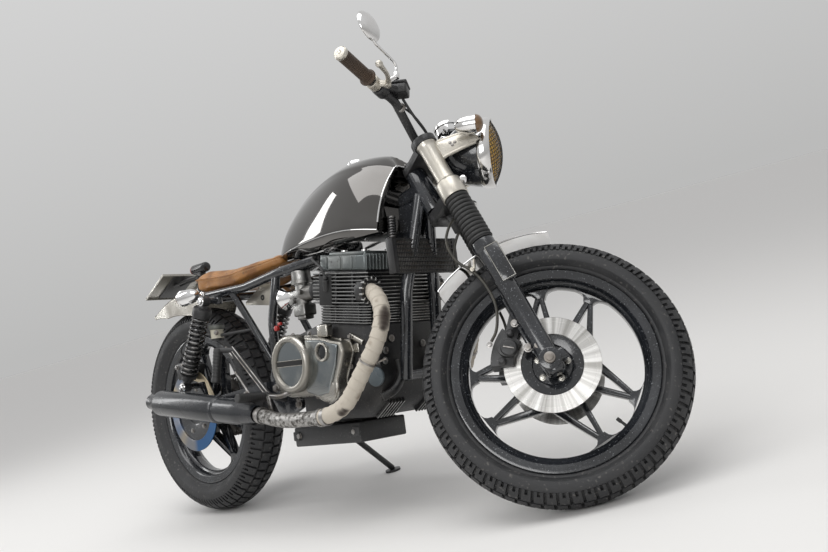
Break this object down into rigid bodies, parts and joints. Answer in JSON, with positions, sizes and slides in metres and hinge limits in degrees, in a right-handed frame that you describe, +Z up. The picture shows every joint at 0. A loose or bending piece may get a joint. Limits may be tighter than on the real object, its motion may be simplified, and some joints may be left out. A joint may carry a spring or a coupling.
{
  "type": "cafe racer motorcycle",
  "caption": "Twin-cylinder cafe racer motorcycle with a polished tank, tan seat, wrapped headers and block-tread tyres, leaning on its side stand with the steering on its left stop",
  "frame": {"origin": "on the floor under the middle of the parked machine's bounding box", "axes": "+X forward along the machine, +Y to the rider's left, +Z up; the machine leans to +Y on its side stand"},
  "size_m": [1.9952, 0.725, 1.2371],
  "materials": {
    "black_gloss_paint": "gloss black paint over steel or cast alloy",
    "black_satin_paint": "satin black heat-proof paint",
    "black_engine_paint": "black engine paint, worn bright on the fin edges",
    "cast_aluminium": "satin cast aluminium, dulled",
    "grey_cover": "grey painted cast alloy",
    "exhaust_wrap": "glass-fibre heat wrap, off-white, dirty and scorched",
    "chrome_tank": "mirror-polished metal, slightly dark",
    "tan_leather": "tan leather",
    "grey_steel": "pale grey painted steel",
    "black_plastic": "black plastic",
    "chrome": "chrome plate",
    "rubber": "matt black rubber",
    "brown_rubber": "dark brown ribbed rubber",
    "milky_plastic": "milky translucent plastic",
    "steel": "dull steel",
    "amber_glass": "amber glass",
    "tyre": "black tyre rubber",
    "brushed_disc": "turned stainless steel"
  },
  "bodies": {
    "chassis": {"crankcase": "black_engine_paint", "engine_covers": "cast_aluminium", "head_cover": "grey_cover", "cylinders": "black_engine_paint", "carburettors": "cast_aluminium", "exhaust_headers": "exhaust_wrap", "mufflers": "black_satin_paint", "rear_subframe": "black_gloss_paint", "swingarm": "black_gloss_paint", "rear_axle": "steel", "drive_chain": "steel", "shock_absorbers": "black_gloss_paint", "fuel_tank": "chrome_tank", "seat": "tan_leather", "rear_fender": "grey_steel", "tail_lamp": "black_plastic", "plate_holder": "grey_steel", "rear_indicators": "chrome", "battery_box": "black_satin_paint", "oil_cooler": "black_satin_paint", "ribbed_hose": "rubber", "foot_controls": "black_satin_paint", "rear_brake": "black_satin_paint", "main_frame": "black_gloss_paint"},
    "steering": {"triple_clamps": "black_satin_paint", "headlamp_ears": "cast_aluminium", "fork_gaiters": "rubber", "fork_legs": "black_gloss_paint", "headlamp": "black_gloss_paint", "headlamp_lens": "amber_glass", "front_indicators": "chrome", "speedometer": "chrome", "handlebar": "black_satin_paint", "grips": "brown_rubber", "hand_controls": "black_satin_paint", "mirrors": "chrome", "front_fender": "chrome", "front_calipers": "black_satin_paint", "brake_hoses": "rubber", "front_axle": "steel"},
    "front_wheel": {"front_rim": "black_gloss_paint", "front_tyre": "tyre", "front_brake_discs": "brushed_disc"},
    "rear_wheel": {"rear_rim": "black_gloss_paint", "rear_tyre": "tyre", "rear_brake_disc": "brushed_disc", "rear_sprocket": "steel"},
    "side_stand": {"side_stand": "black_satin_paint"}
  },
  "joints": [
    {"name": "steering_turn", "type": "hinge", "parent": "chassis", "child": "steering", "pos_m": [0.42435, -0.02478, 0.79155], "axis": [-0.4417, 0.1712, 0.8807], "range_deg": [-73.4, 0]},
    {"name": "front_wheel_spin", "type": "hinge", "parent": "steering", "child": "front_wheel", "pos_m": [0.72097, -0.0873, 0.29388], "axis": [-0.5362, 0.7367, -0.4121], "continuous": true},
    {"name": "rear_wheel_spin", "type": "hinge", "parent": "chassis", "child": "rear_wheel", "pos_m": [-0.66594, -0.11484, 0.3282], "axis": [0, 0.9816, -0.1908], "continuous": true},
    {"name": "side_stand_fold", "type": "hinge", "parent": "chassis", "child": "side_stand", "pos_m": [-0.19149, -0.03284, 0.19981], "axis": [0.0035, 0.8376, 0.5462], "range_deg": [0, 85]}
  ]
}
